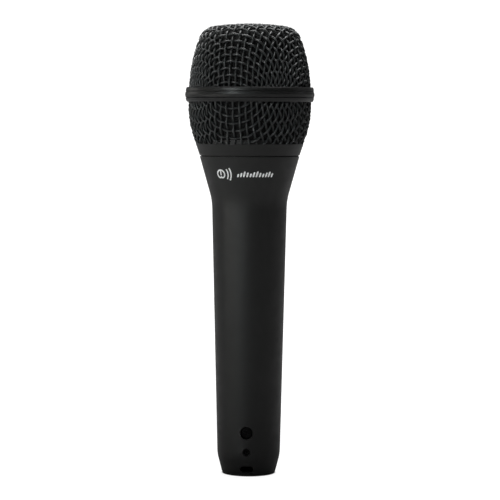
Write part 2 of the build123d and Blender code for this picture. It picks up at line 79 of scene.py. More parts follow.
# =====================================================================================
# materials
# =====================================================================================
class Shader:
    """A Principled material with a few helpers for its procedural nodes."""

    def __init__(self, name, **values):
        self.material = bpy.data.materials.new(name)
        self.material.use_nodes = True
        self.nodes = self.material.node_tree.nodes
        self.links = self.material.node_tree.links
        self.bsdf = self.nodes["Principled BSDF"]
        for socket, value in values.items():
            self.bsdf.inputs[socket.replace("_", " ")].default_value = value
        self.place = self.nodes.new("ShaderNodeTexCoord").outputs["Object"]

    def link(self, a, b):
        self.links.new(a, b)
        return self

    def math(self, operation, *values, clamp=False):
        node = self.nodes.new("ShaderNodeMath")
        node.operation = operation
        node.use_clamp = clamp
        for socket, value in zip(node.inputs, values):
            if isinstance(value, (int, float)):
                socket.default_value = value
            else:
                self.links.new(value, socket)
        return node.outputs[0]

    def noise(self, size, detail=2.0, roughness=0.5, stretch=(1, 1, 1)):
        """Noise with features of about a size in metres."""
        mapping = self.nodes.new("ShaderNodeMapping")
        mapping.inputs["Scale"].default_value = [1.0 / (size * s) for s in stretch]
        self.links.new(self.place, mapping.inputs["Vector"])
        node = self.nodes.new("ShaderNodeTexNoise")
        node.inputs["Scale"].default_value = 1.0
        node.inputs["Detail"].default_value = detail
        node.inputs["Roughness"].default_value = roughness
        self.links.new(mapping.outputs[0], node.inputs["Vector"])
        return node.outputs["Fac"]

    def cells(self, size, feature="F1"):
        node = self.nodes.new("ShaderNodeTexVoronoi")
        node.feature = feature
        node.inputs["Scale"].default_value = 1.0 / size
        self.links.new(self.place, node.inputs["Vector"])
        return node.outputs["Distance"]

    def ramp(self, value, low, high, out_low=0.0, out_high=1.0):
        node = self.nodes.new("ShaderNodeMapRange")
        node.inputs["From Min"].default_value = low
        node.inputs["From Max"].default_value = high
        node.inputs["To Min"].default_value = out_low
        node.inputs["To Max"].default_value = out_high
        self.links.new(value, node.inputs["Value"])
        return node.outputs[0]

    def mix(self, factor, a, b):
        node = self.nodes.new("ShaderNodeMix")
        node.data_type = "RGBA"
        self.links.new(factor, node.inputs[0])
        for socket, value in ((node.inputs[6], a), (node.inputs[7], b)):
            if isinstance(value, (tuple, list)):
                socket.default_value = (*value[:3], 1.0)
            else:
                self.links.new(value, socket)
        return node.outputs[2]

    def colour(self, socket):
        return self.link(socket, self.bsdf.inputs["Base Color"])

    def roughness(self, socket):
        return self.link(socket, self.bsdf.inputs["Roughness"])

    def bump(self, height, strength, distance):
        """Adds a bump layer on top of any earlier one."""
        node = self.nodes.new("ShaderNodeBump")
        node.inputs["Strength"].default_value = strength
        node.inputs["Distance"].default_value = distance
        self.links.new(height, node.inputs["Height"])
        normal = self.bsdf.inputs["Normal"]
        if normal.is_linked:
            self.links.new(normal.links[0].from_socket, node.inputs["Normal"])
        self.links.new(node.outputs[0], normal)
        return self


def grey(value, warm=0.0):
    return (value * (1 + warm), value, value * (1 - warm))


def satin_paint(name, dark, light, rough, grain=0.00035, bump=0.10):
    """Fine powder coat: a dense orange-peel grain, soft mottling and slightly rubbed spots."""
    s = Shader(name, Metallic=0.0)
    mottle = s.noise(0.012, 3.0)
    fine = s.noise(grain, 3.0, 0.6)
    s.colour(s.mix(s.ramp(mottle, 0.3, 0.7), dark, light))
    rub = s.ramp(s.noise(0.004, 2.0), 0.35, 0.7, rough - 0.04, rough + 0.05)
    s.roughness(s.math("ADD", rub, s.ramp(fine, 0.3, 0.7, -0.03, 0.03)))
    s.bump(fine, bump, 0.00006)
    s.bump(s.noise(0.0018, 2.0), bump * 0.5, 0.00008)
    return s


def make_materials():
    made = {}
    made["housing_paint"] = satin_paint(
        "charcoal_powder_coat", grey(0.014, 0.01), grey(0.018, 0.01), 0.45
    )
    made["band_paint"] = satin_paint(
        "black_satin_paint", grey(0.015), (0.019, 0.020, 0.020), 0.38, bump=0.07
    )

    s = Shader("grille_wire_paint", Metallic=0.0, Specular_IOR_Level=1.0)
    s.colour(s.mix(s.ramp(s.noise(0.0012, 2.0), 0.3, 0.7), grey(0.013), (0.017, 0.023, 0.024)))
    s.roughness(s.ramp(s.noise(0.0006, 2.0), 0.3, 0.7, 0.48, 0.58))
    s.bump(s.noise(0.00018, 2.0, 0.6), 0.08, 0.00003)
    made["grille_wire"] = s

    s = Shader("open_cell_foam", Roughness=1.0, Specular_IOR_Level=0.1)
    pores = s.cells(0.0006)
    s.colour(s.mix(s.ramp(pores, 0.1, 0.6), grey(0.008), grey(0.028)))
    s.bump(pores, 0.9, 0.0003)
    made["foam"] = s

    s = Shader("seal_rubber", Specular_IOR_Level=0.35)
    s.colour(s.mix(s.noise(0.002), grey(0.012), grey(0.018)))
    s.roughness(s.ramp(s.noise(0.0005), 0.3, 0.7, 0.6, 0.8))
    made["seal_rubber"] = s
    made["mount_rubber"] = s

    def turned_metal(name, colour_a, colour_b, rough_a, rough_b, pitch=0.00018, metallic=1.0):
        m = Shader(name, Metallic=metallic)
        m.colour(m.mix(m.ramp(m.noise(0.003, 3.0), 0.3, 0.7), colour_a, colour_b))
        lines = m.noise(pitch, 2.0, 0.6, (20, 20, 1))
        m.roughness(m.ramp(lines, 0.3, 0.7, rough_a, rough_b))
        m.bump(lines, 0.15, 0.00002)
        return m

    made["thread_brass"] = turned_metal(
        "turned_brass", (0.60, 0.42, 0.18), (0.50, 0.34, 0.14), 0.22, 0.36
    )
    made["tag_metal"] = turned_metal(
        "tinned_brass", (0.62, 0.58, 0.46), (0.50, 0.46, 0.36), 0.3, 0.45
    )
    made["pin_silver"] = turned_metal(
        "silver_plate", (0.74, 0.73, 0.68), (0.62, 0.60, 0.54), 0.16, 0.30
    )
    made["ring_aluminium"] = turned_metal("turned_aluminium", grey(0.60), grey(0.50), 0.25, 0.40)
    made["mount_screw_steel"] = turned_metal(
        "zinc_steel", (0.52, 0.54, 0.55), (0.44, 0.45, 0.44), 0.25, 0.38
    )
    made["motor_steel"] = turned_metal("plated_iron", grey(0.46), grey(0.38), 0.26, 0.40)
    made["magnet_steel"] = turned_metal("nickel_plate", grey(0.58), grey(0.50), 0.12, 0.22)
    made["screen_steel"] = turned_metal("wire_gauze", grey(0.36), grey(0.20), 0.35, 0.50)
    made["coil_copper"] = turned_metal(
        "enamelled_copper", (0.62, 0.26, 0.10), (0.48, 0.18, 0.07), 0.2, 0.3, 0.00006
    )
    # black oxide, made darker still as painted shade: it stands in for the shade deep in the
    # recess and hole that the insert screw and set screw sit in
    made["screw_steel"] = turned_metal(
        "black_oxide_steel_with_painted_recess_shade", grey(0.006), grey(0.011), 0.30, 0.42, metallic=0.9
    )
    made["barrel_black"] = turned_metal(
        "black_anodised", grey(0.010), grey(0.016), 0.34, 0.46, metallic=0.3
    )

    def moulded(name, dark, light, rough):
        m = Shader(name)
        m.colour(m.mix(m.ramp(m.noise(0.004, 3.0), 0.3, 0.7), dark, light))
        m.roughness(m.ramp(m.noise(0.0007), 0.3, 0.7, rough - 0.05, rough + 0.06))
        m.bump(m.noise(0.0003, 2.0), 0.12, 0.00004)
        return m

    made["insert_plastic"] = moulded("insert_plastic", grey(0.012), grey(0.018), 0.45)
    made["capsule_plastic"] = moulded("capsule_plastic", grey(0.035), grey(0.045), 0.5)
    made["board_plastic"] = moulded("phenolic_board", (0.22, 0.12, 0.04), (0.30, 0.17, 0.06), 0.55)
    made["felt"] = moulded("damping_felt", (0.50, 0.47, 0.41), (0.62, 0.58, 0.52), 0.9)
    made["film"] = moulded("polyester_film", (0.50, 0.48, 0.38), (0.62, 0.58, 0.46), 0.25)
    made["lead_red"] = moulded("red_insulation", (0.34, 0.02, 0.02), (0.42, 0.03, 0.03), 0.4)
    made["lead_black"] = moulded("black_insulation", grey(0.012), grey(0.02), 0.4)

    s = Shader("white_print_with_painted_glow", Roughness=0.55)
    s.colour(s.mix(s.ramp(s.noise(0.0004, 3.0), 0.3, 0.75), grey(0.86), grey(0.95)))
    # painted glow: the white ink emits a little light of its own, so it reads brighter than the
    # lamps alone make it
    s.bsdf.inputs["Emission Color"].default_value = (1.0, 1.0, 0.98, 1.0)
    s.bsdf.inputs["Emission Strength"].default_value = 0.18
    made["print"] = s
    return {slot: shader.material for slot, shader in made.items()}


MATERIALS = make_materials()


def dress(piece, slot):
    """Gives a piece or a CAD node the material of a slot."""
    piece.data.materials.clear()
    piece.data.materials.append(MATERIALS[slot])


# =====================================================================================
# meshes
# =====================================================================================
def mesh_object(name, vertices, faces, smooth=True):
    mesh = bpy.data.meshes.new(name)
    points = [tuple(map(float, v)) for v in vertices]
    mesh.from_pydata(points, [], [tuple(map(int, f)) for f in faces])
    mesh.validate()
    if smooth:
        mesh.polygons.foreach_set("use_smooth", [True] * len(mesh.polygons))
    mesh.update()
    piece = bpy.data.objects.new(name, mesh)
    bpy.context.scene.collection.objects.link(piece)
    return piece


def grid_faces(rows, columns, wrap_rows=False, wrap_columns=False, first=0):
    """Quads of a grid of vertices numbered row by row."""
    r = np.arange(rows if wrap_rows else rows - 1)
    c = np.arange(columns if wrap_columns else columns - 1)
    r, c = np.meshgrid(r, c, indexing="ij")
    r2, c2 = (r + 1) % rows, (c + 1) % columns
    quads = np.stack([r * columns + c, r * columns + c2, r2 * columns + c2, r2 * columns + c], -1)
    return quads.reshape(-1, 4) + first


# =====================================================================================
# outlines of the head: arcs of (centre radius, centre height, radius, start, end), in mm,
# with the angle measured from the crown's own direction
# =====================================================================================
HEAD_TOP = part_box("upper_grille")[1].z / MM
LOWER_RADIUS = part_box("lower_grille")[1].x / MM
CROWN_ARC, CROWN_ANGLE = 100.0, radians(8.4)
SHOULDER_ARC, SHOULDER_ANGLE = 7.15, radians(69.0)
SIDE_ARC = 61.0
LOWER_ARC, LOWER_WIDEST = 37.0, 146.5
LOWER_SHOULDER_ARC = 8.0
LOWER_CROWN_ANGLE, LOWER_SHOULDER_ANGLE = radians(10.0), radians(55.0)


def upper_arcs():
    crown = (0.0, HEAD_TOP - CROWN_ARC)
    reach = CROWN_ARC - SHOULDER_ARC
    shoulder = (crown[0] + reach * sin(CROWN_ANGLE), crown[1] + reach * cos(CROWN_ANGLE))
    reach = SHOULDER_ARC - SIDE_ARC
    side = (shoulder[0] + reach * sin(SHOULDER_ANGLE), shoulder[1] + reach * cos(SHOULDER_ANGLE))
    return [
        (*crown, CROWN_ARC, 0.0, CROWN_ANGLE),
        (*shoulder, SHOULDER_ARC, CROWN_ANGLE, SHOULDER_ANGLE),
        (*side, SIDE_ARC, SHOULDER_ANGLE, radians(96.0)),
    ]


def lower_arcs():
    """The cup that the lower grille was pressed from, crown down. Only its wall is kept."""
    side = (LOWER_RADIUS - LOWER_ARC, LOWER_WIDEST)
    reach = LOWER_ARC - LOWER_SHOULDER_ARC
    angle = LOWER_SHOULDER_ANGLE
    shoulder = (side[0] + reach * sin(angle), side[1] - reach * cos(angle))
    crown_arc = LOWER_SHOULDER_ARC + shoulder[0] / sin(LOWER_CROWN_ANGLE)
    rise = (crown_arc - LOWER_SHOULDER_ARC) * cos(LOWER_CROWN_ANGLE)
    return [
        (0.0, shoulder[1] + rise, crown_arc, 0.0, LOWER_CROWN_ANGLE),
        (*shoulder, LOWER_SHOULDER_ARC, LOWER_CROWN_ANGLE, angle),
        (*side, LOWER_ARC, angle, radians(102.0)),
    ]


class Dome:
    """A surface turned about the axis, met by its distance from the crown along the outline."""

    def __init__(self, arcs, depth, up):
        self.arcs = np.array(arcs)
        self.radii = self.arcs[:, 2] - depth
        lengths = self.radii * (self.arcs[:, 4] - self.arcs[:, 3])
        self.starts = np.concatenate([[0.0], np.cumsum(lengths)])
        self.length = self.starts[-1]
        self.up = 1.0 if up else -1.0

    def outline(self, s):
        """Radius, height and slope angle at a distance from the crown."""
        s = np.asarray(s, float)
        k = np.clip(np.searchsorted(self.starts, s, side="right") - 1, 0, len(self.radii) - 1)
        angle = self.arcs[k, 3] + (s - self.starts[k]) / self.radii[k]
        radius = self.arcs[k, 0] + self.radii[k] * np.sin(angle)
        height = self.arcs[k, 1] + self.up * self.radii[k] * np.cos(angle)
        return radius, height, angle

    def frame(self, s, phi):
        """Point, normal, and the directions away from the crown and round the axis."""
        radius, height, angle = self.outline(s)
        c, n = np.cos(phi), np.sin(phi)
        point = np.stack([radius * c, radius * n, height], -1)
        normal = np.stack([np.sin(angle) * c, np.sin(angle) * n, self.up * np.cos(angle)], -1)
        away = np.stack([np.cos(angle) * c, np.cos(angle) * n, -self.up * np.sin(angle)], -1)
        around = np.stack([-n, c, np.zeros_like(c)], -1)
        return point, normal, away, around

    def distance_at(self, height):
        """Distance from the crown at which the wall reaches a height."""
        s = np.linspace(self.starts[2] * 0.5, self.length, 4000)
        z = self.outline(s)[1]
        return float(s[np.argmin(np.abs(z - height))])


# =====================================================================================
# woven wire: a flat square mesh pressed over a dome. The wires keep their spacing, so the
# squares shear into diamonds between the two directions of the weave
# =====================================================================================
def first_net(dome, cells, pitch):
    """A net of equal chords, grown from the crown one quadrant at a time."""

    def place(s, phi):
        radius, height, _ = dome.outline(s)
        return np.array([radius * cos(phi), radius * sin(phi), float(height)])

    quadrant = {(0, 0): (0.0, 0.0)}
    s = 0.0
    for i in range(1, cells + 1):
        here = place(s, 0.0)
        t = s + pitch
        for _ in range(12):
            t -= np.linalg.norm(place(t, 0.0) - here) - pitch
        s = t
        quadrant[i, 0] = (s, 0.0)
        quadrant[0, i] = (s, pi / 2)
    step = 1e-4
    for i in range(1, cells + 1):
        for j in range(1, cells + 1):
            if (i - 1, j) not in quadrant or (i, j - 1) not in quadrant:
                continue
            a, b = place(*quadrant[i - 1, j]), place(*quadrant[i, j - 1])
            guess = a + b - place(*quadrant[i - 1, j - 1])
            s = max(quadrant[i - 1, j][0], quadrant[i, j - 1][0]) + 0.5
            phi = atan2(guess[1], guess[0])
            for _ in range(40):
                x, xs, xp = place(s, phi), place(s + step, phi), place(s, phi + step)
                gap = np.array([np.linalg.norm(x - a), np.linalg.norm(x - b)])
                if np.abs(gap - pitch).max() < 1e-6:
                    break
                slope = np.array([
                    [np.linalg.norm(xs - a) - gap[0], np.linalg.norm(xp - a) - gap[0]],
                    [np.linalg.norm(xs - b) - gap[1], np.linalg.norm(xp - b) - gap[1]],
                ]) / step
                move = np.linalg.solve(slope, gap - pitch)
                move /= max(abs(move[0]), abs(move[1]) / 0.2, 1.0)
                s, phi = s - move[0], phi - move[1]
            else:
                (sa, pa), (sb, pb) = quadrant[i - 1, j], quadrant[i, j - 1]
                s, phi = (sa + sb) / 2 + pitch * 0.93, (pa + pb) / 2
            if s < dome.length + pitch:
                quadrant[i, j] = (s, phi)
    size = 2 * cells + 1
    net = np.full((size, size, 2), np.nan)
    for (i, j), (s, phi) in quadrant.items():
        for _ in range(4):
            net[i + cells, j + cells] = (s * cos(phi), s * sin(phi))
            i, j, phi = -j, i, phi + pi / 2
    return net


def relax(dome, net, pitch, hoop, least_diagonal, rounds=420, smooth=0.10):
    """Lets the wires slide a little: spacing, shear limit and stiffness, projected in turn.

    hoop is the range of spacing round the axis, where the press draws the mesh together.
    """
    known = ~np.isnan(net[..., 0])
    size = net.shape[0]
    plan = np.where(known[..., None], net, 0.0)

    def neighbours(*steps):
        rows, columns = np.where(known)
        keep = np.ones(len(rows), bool)
        for di, dj in steps:
            r, c = rows + di, columns + dj
            inside = (r >= 0) & (c >= 0) & (r < size) & (c < size)
            keep &= inside
            keep[inside] &= known[r[inside], c[inside]]
        rows, columns = rows[keep], columns[keep]
        return [(rows, columns)] + [(rows + di, columns + dj) for di, dj in steps]

    edges = [neighbours((1, 0)), neighbours((0, 1))]
    diagonals = [neighbours((1, 1)), neighbours((1, -1))]
    lines = [neighbours((1, 0), (-1, 0)), neighbours((0, 1), (0, -1))]
    middle = size // 2
    for _ in range(rounds):
        s = np.hypot(plan[..., 0], plan[..., 1])
        phi = np.arctan2(plan[..., 1], plan[..., 0])
        point, _, away, around = dome.frame(s, phi)
        pull = np.zeros_like(point)
        weight = np.zeros(point.shape[:2])
        for a, b in edges:
            gap = point[b] - point[a]
            length = np.linalg.norm(gap, axis=-1)
            ray = gap / length[:, None]
            share = (ray * around[a]).sum(-1) ** 2
            low = pitch * (1 - share) * 0.985 + hoop[0] * share
            high = pitch * (1 - share) * 1.03 + hoop[1] * share
            shift = (0.5 * (length - np.clip(length, low, high)))[:, None] * ray
            np.add.at(pull, a, shift)
            np.add.at(pull, b, -shift)
            np.add.at(weight, a, 1.0)
            np.add.at(weight, b, 1.0)
        for a, b in diagonals:
            gap = point[b] - point[a]
            length = np.linalg.norm(gap, axis=-1)
            short = np.minimum(length - least_diagonal, 0.0)
            shift = (0.5 * short / length)[:, None] * gap
            np.add.at(pull, a, shift)
            np.add.at(pull, b, -shift)
            np.add.at(weight, a, (short < 0) * 1.0)
            np.add.at(weight, b, (short < 0) * 1.0)
        for at, before, after in lines:
            np.add.at(pull, at, smooth * (0.5 * (point[before] + point[after]) - point[at]))
            np.add.at(weight, at, smooth)
        pull *= (1.6 / np.maximum(weight, 1.0))[..., None]
        outward = np.clip((pull * away).sum(-1), -0.3, 0.3)
        radius = np.maximum(np.hypot(point[..., 0], point[..., 1]), 0.5)
        turning = np.clip((pull * around).sum(-1) / radius, -0.05, 0.05)
        s = np.maximum(s + outward, 0.0)
        phi = phi + turning
        moved = np.stack([s * np.cos(phi), s * np.sin(phi)], -1)
        moved[middle, middle] = 0.0
        plan = np.where(known[..., None], moved, 0.0)
    return np.where(known[..., None], plan, np.nan)


def catmull(p0, p1, p2, p3, t):
    return 0.5 * (
        2 * p1
        + (p2 - p0) * t
        + (2 * p0 - 5 * p1 + 4 * p2 - p3) * t * t
        + (3 * p1 - p0 - 3 * p2 + p3) * t ** 3
    )


def read_net(net, u, v):
    """The net's plan position at fractional cell numbers."""
    i, j = np.floor(u).astype(int), np.floor(v).astype(int)
    size = net.shape[0]
    rows = []
    for di in (-1, 0, 1, 2):
        r = np.clip(i + di, 0, size - 1)
        column = [net[r, np.clip(j + dj, 0, size - 1)] for dj in (-1, 0, 1, 2)]
        rows.append(catmull(*column, (v - j)[:, None]))
    return catmull(*rows, (u - i)[:, None])


def tube(points, radius, sides):
    """Vertices and faces of a round tube with domed ends along points."""
    steps = np.gradient(points, axis=0)
    steps /= np.linalg.norm(steps, axis=1)[:, None]
    side = np.empty_like(steps)
    first = np.cross(steps[0], (0.0, 0.0, 1.0))
    if np.linalg.norm(first) < 0.1:
        first = np.cross(steps[0], (1.0, 0.0, 0.0))
    side[0] = first / np.linalg.norm(first)
    for k in range(1, len(points)):
        carried = side[k - 1] - steps[k] * (side[k - 1] @ steps[k])
        side[k] = carried / np.linalg.norm(carried)
    other = np.cross(steps, side)
    angles = np.arange(sides) * 2 * pi / sides
    ring = np.cos(angles)[None, :, None] * side[:, None]
    ring = ring + np.sin(angles)[None, :, None] * other[:, None]
    body = points[:, None] + radius * ring
    nose = points[0] + 0.55 * radius * ring[0] - steps[0] * radius * 0.7
    tail = points[-1] + 0.55 * radius * ring[-1] + steps[-1] * radius * 0.7
    rings = np.concatenate([nose[None], body, tail[None]])
    count = len(rings)
    tips = [points[0] - steps[0] * radius, points[-1] + steps[-1] * radius]
    vertices = np.concatenate([rings.reshape(-1, 3), tips])
    faces = [tuple(f) for f in grid_faces(count, sides, wrap_columns=True)]
    start, end = count * sides, count * sides + 1
    last = (count - 1) * sides
    faces += [(start, (k + 1) % sides, k) for k in range(sides)]
    faces += [(end, last + k, last + (k + 1) % sides) for k in range(sides)]
    return vertices, faces


def woven_grille(
    name, dome, net, turned_by, phase, parity, s_range, wire, crimp, samples=6, sides=8
):
    """Every wire of both directions of the weave, over and under in turn, as one piece."""
    size = net.shape[0]
    cells = size // 2
    all_vertices, all_faces, total = [], [], 0
    fine = 4 * samples
    for family in (0, 1):
        for index in range(-cells + 1, cells):
            fixed = index + phase[family]
            along = np.arange(-cells * fine, cells * fine + 1) / fine
            if abs(fixed) > cells:
                continue
            across = np.full_like(along, fixed)
            pair = (across, along) if family == 0 else (along, across)
            plan = read_net(net, pair[0] + cells, pair[1] + cells)
            s = np.hypot(plan[:, 0], plan[:, 1])
            good = ~np.isnan(s) & (s >= s_range[0]) & (s <= s_range[1])
            edges = np.flatnonzero(np.diff(np.concatenate([[0], good.astype(int), [0]])))
            for begin, end in zip(edges[::2], edges[1::2]):
                if end - begin < fine // 2:
                    continue
                picks = np.unique(np.concatenate([np.arange(begin, end - 1, 4), [end - 1]]))
                phi = np.arctan2(plan[picks, 1], plan[picks, 0]) + turned_by
                point, normal, _, _ = dome.frame(s[picks], phi)
                other = along[picks] - phase[1 - family]
                wave = np.cos(pi * (other + index + parity)) * (1 if family == 0 else -1)
                line = point + normal * (crimp * wave)[:, None]
                vertices, faces = tube(line * MM, wire * MM, sides)
                all_vertices.append(vertices)
                all_faces += [tuple(v + total for v in f) for f in faces]
                total += len(vertices)
    return mesh_object(name, np.concatenate(all_vertices), all_faces)


WIRE_RADIUS = 0.42
CRIMP = 0.42
NET_DEPTH = 0.85
FRONT = -pi / 2


def grille_piece(name, node, arcs, up, pitch, hoop, diagonal, azimuth, phase, parity, z_range):
    dome = Dome(arcs, NET_DEPTH, up)
    cells = int((dome.length + 3.0) / pitch)
    net = relax(dome, first_net(dome, cells, pitch), pitch * 1.03, hoop, diagonal)
    ends = [dome.distance_at(z) if z is not None else 0.0 for z in z_range]
    piece = woven_grille(
        name, dome, net, FRONT + radians(azimuth), phase, parity, ends, WIRE_RADIUS, CRIMP
    )
    dress(piece, "grille_wire")
    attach(piece, "grille_head")
    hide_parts(node)
    return piece


WEB_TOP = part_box("upper_grille")[0].z / MM
WEB_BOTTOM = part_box("lower_grille")[1].z / MM
COLLAR_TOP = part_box("lower_grille")[0].z / MM

grille_piece("upper_weave", "upper_grille", upper_arcs(), True, 2.62, (2.47, 2.64), 1.55,
             -15.5, (0.24, -0.04), 1, (None, WEB_TOP + 0.35))
grille_piece("lower_weave", "lower_grille", lower_arcs(), False, 2.89, (2.72, 2.95), 2.0,
             -12.5, (-0.17, 0.06), 1, (COLLAR_TOP - 0.1, WEB_BOTTOM - 0.35))


# =====================================================================================
# foam lining
# =====================================================================================
FOAM_DEPTH = 1.8
FOAM_THICKNESS = 3.0


def foam_piece(name, node, arcs, up, z_range):
    """Open-cell lining: a closed shell whose outer face is rough with torn pores."""
    outer, inner = Dome(arcs, FOAM_DEPTH, up), Dome(arcs, FOAM_DEPTH + FOAM_THICKNESS, up)
    columns = 360
    rng = np.random.default_rng(7)

    def rows_of(dome, step):
        ends = [dome.distance_at(z) if z is not None else 0.15 for z in z_range]
        count = int(abs(ends[1] - ends[0]) / step)
        return np.linspace(ends[0], ends[1], count)

    def surface(dome, step, rough):
        s = rows_of(dome, step)
        phi = np.arange(columns) * 2 * pi / columns
        grid_s, grid_phi = np.meshgrid(s, phi, indexing="ij")
        point, normal, _, _ = dome.frame(grid_s, grid_phi)
        noise = rng.normal(size=grid_s.shape)
        noise = (noise + np.roll(noise, 1, 1) + np.roll(noise, 1, 0)) / sqrt(3)
        return point - normal * (np.abs(noise) * rough)[..., None], len(s)

    skin, skin_rows = surface(outer, 0.42, 0.12)
    back, back_rows = surface(inner, 1.5, 0.0)
    points = np.concatenate([skin, back[::-1]]) * MM
    rows = skin_rows + back_rows
    faces = grid_faces(rows, columns, wrap_rows=False, wrap_columns=True)
    faces = [tuple(f) for f in faces]
    last = (rows - 1) * columns
    closing = [
        (last + c, last + (c + 1) % columns, (c + 1) % columns, c) for c in range(columns)
    ]
    if z_range[0] is None:
        closing = [tuple(range(columns))[::-1], tuple(last + c for c in range(columns))]
    piece = mesh_object(name, points.reshape(-1, 3), faces + closing)
    bm = bmesh.new()
    bm.from_mesh(piece.data)
    bmesh.ops.recalc_face_normals(bm, faces=bm.faces)
    bm.to_mesh(piece.data)
    bm.free()
    dress(piece, "foam")
    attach(piece, "grille_head")
    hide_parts(node)
    return piece


foam_piece("upper_lining", "upper_foam", upper_arcs(), True,
           (None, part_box("upper_foam")[0].z / MM))
foam_piece("lower_lining", "lower_foam", lower_arcs(), False,
           (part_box("grille_collar")[1].z / MM + 0.05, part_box("lower_foam")[1].z / MM))


# =====================================================================================
# printed mark: a polar-pattern symbol and a row of slanted level bars, in thin white ink
# =====================================================================================
MARK_HEIGHT = 120.1
MARK_AZIMUTH = 0.0
INK_ABOVE, INK_BELOW = 0.03, -0.08

SYMBOL_ACROSS = -10.8          # middle of the symbol, from the middle of the mark
SYMBOL_REACH = 2.05
SYMBOL_STROKE = 0.55
ARCS = ((3.3, 0.62), (4.6, 0.55))      # radius and half spread of each wave arc
ARC_HALF_STROKE = 0.26

LEVELS = (1.3, 1.7, 2.3, 1.9, 1.5, 2.0, 2.3, 1.8, 1.4, 1.8, 2.2, 1.6)
TALLEST_LEVEL = 2.3
FIRST_BAR, BAR_STEP = -3.3, 1.25
BAR_WIDTH, BAR_LEAN = 0.72, 0.25


def housing_tree():
    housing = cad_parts["handle_housing"]
    vertices = [housing.matrix_world @ v.co for v in housing.data.vertices]
    return BVHTree.FromPolygons(vertices, [tuple(f.vertices) for f in housing.data.polygons])


class Ink:
    """Flat shapes in mm on the mark's own sheet, laid on the housing's outer face."""

    def __init__(self, tree):
        self.tree = tree
        self.vertices, self.faces = [], []
        self.turn = FRONT + MARK_AZIMUTH
        self.radius = (self.on_housing(self.turn, MARK_HEIGHT)[0].xy.length) / MM

    def on_housing(self, angle, height):
        out = Vector((cos(angle), sin(angle), 0.0))
        start = out * 0.05 + Vector((0.0, 0.0, height * MM))
        hit, normal, _, _ = self.tree.ray_cast(start, -out)
        return hit, (normal if normal.dot(out) > 0 else -normal)

    def laid(self, across, up, lift):
        hit, normal = self.on_housing(self.turn + across / self.radius, MARK_HEIGHT + up)
        return hit + normal * (lift * MM)

    def strip(self, left, right, closed):
        """A thin solid between two edges with the same number of points."""
        first, count = len(self.vertices), len(left)
        for a, b in zip(left, right):
            section = ((a, INK_ABOVE), (b, INK_ABOVE), (b, INK_BELOW), (a, INK_BELOW))
            for (across, up), lift in section:
                self.vertices.append(self.laid(across, up, lift))
        around = grid_faces(count, 4, wrap_rows=closed, wrap_columns=True, first=first)
        self.faces += [tuple(f) for f in around]
        if not closed:
            self.faces.append(tuple(first + k for k in (3, 2, 1, 0)))
            last = first + 4 * (count - 1)
            self.faces.append(tuple(last + k for k in (0, 1, 2, 3)))


def printed_mark():
    ink = Ink(housing_tree())

    def ring(centre, shape, stroke, points=64):
        turns = [k * 2 * pi / points for k in range(points)]
        middle = [shape(a) for a in turns]
        inner, outer = [], []
        for k, (x, y) in enumerate(middle):
            (xa, ya), (xb, yb) = middle[k - 1], middle[(k + 1) % points]
            length = sqrt((xb - xa) ** 2 + (yb - ya) ** 2)
            nx, ny = (yb - ya) / length * stroke / 2, -(xb - xa) / length * stroke / 2
            inner.append((centre + x - nx, y - ny))
            outer.append((centre + x + nx, y + ny))
        ink.strip(inner, outer, closed=True)

    def bar(across, up, width, height, lean=0.0, rows=7):
        """An upright stroke with rounded ends."""
        left, right = [], []
        for k in range(rows):
            share = -cos(pi * k / (rows - 1))
            half = width / 2 * max(1 - max(abs(share) * height / 2 - (height - width) / 2, 0) ** 2
                                   / (width / 2) ** 2, 0.04) ** 0.5
            y = up + share * height / 2
            x = across + lean * (y - up)
            left.append((x - half, y))
            right.append((x + half, y))
        ink.strip(left, right, closed=False)

    def cardioid(a):
        r = SYMBOL_REACH * (1 + 0.94 * sin(a)) * 0.66
        return r * cos(a), r * sin(a) - 1.05

    def arc_edge(radius, turns):
        return [(SYMBOL_ACROSS + radius * cos(a), radius * sin(a)) for a in turns]

    ring(SYMBOL_ACROSS, cardioid, SYMBOL_STROKE)
    bar(SYMBOL_ACROSS, 0.35, 0.5, 1.8)
    for radius, spread in ARCS:
        turns = np.linspace(-spread, spread, 12)
        ink.strip(
            arc_edge(radius - ARC_HALF_STROKE, turns),
            arc_edge(radius + ARC_HALF_STROKE, turns),
            closed=False,
        )
    for k, level in enumerate(LEVELS):
        across = FIRST_BAR + BAR_STEP * k
        bar(across, (level - TALLEST_LEVEL) / 2, BAR_WIDTH, level, lean=BAR_LEAN)
    piece = mesh_object("printed_mark", ink.vertices, ink.faces, smooth=False)
    bm = bmesh.new()
    bm.from_mesh(piece.data)
    bmesh.ops.recalc_face_normals(bm, faces=bm.faces)
    bm.to_mesh(piece.data)
    bm.free()
    piece.data.materials.append(MATERIALS["print"])
    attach(piece, "handle")


printed_mark()


# =====================================================================================
# CAD nodes that stay: finishes
# =====================================================================================
SLOTS = {
    "housing_paint": ["handle_housing", "grille_collar"],
    "band_paint": ["grille_band"],
    "seal_rubber": ["seal_ring"],
    "thread_brass": ["neck_thread_ring"],
    "barrel_black": ["connector_barrel"],
    "insert_plastic": ["connector_insert"],
    "screw_steel": ["insert_screw", "barrel_set_screw"],
    "tag_metal": ["ground_tab", "solder_tags"],
    "lead_red": ["lead_hot"],
    "lead_black": ["lead_cold"],
    "mount_rubber": ["shock_mount"],
    "ring_aluminium": ["mount_ring", "clamp_ring", "surround_ring"],
    "mount_screw_steel": ["mount_screws"],
    "capsule_plastic": ["capsule_shell", "rear_chamber", "front_cap"],
    "board_plastic": ["terminal_board"],
    "felt": ["damping_felt"],
    "motor_steel": ["yoke_cup", "pole_piece", "top_plate"],
    "magnet_steel": ["magnet"],
    "film": ["diaphragm_dome", "diaphragm_surround"],
    "coil_copper": ["voice_coil"],
    "screen_steel": ["front_screen"],
    "pin_silver": ["contact_pin_1", "contact_pin_2", "contact_pin_3"],
}
for slot, names in SLOTS.items():
    for node in names:
        dress(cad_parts[node], slot)


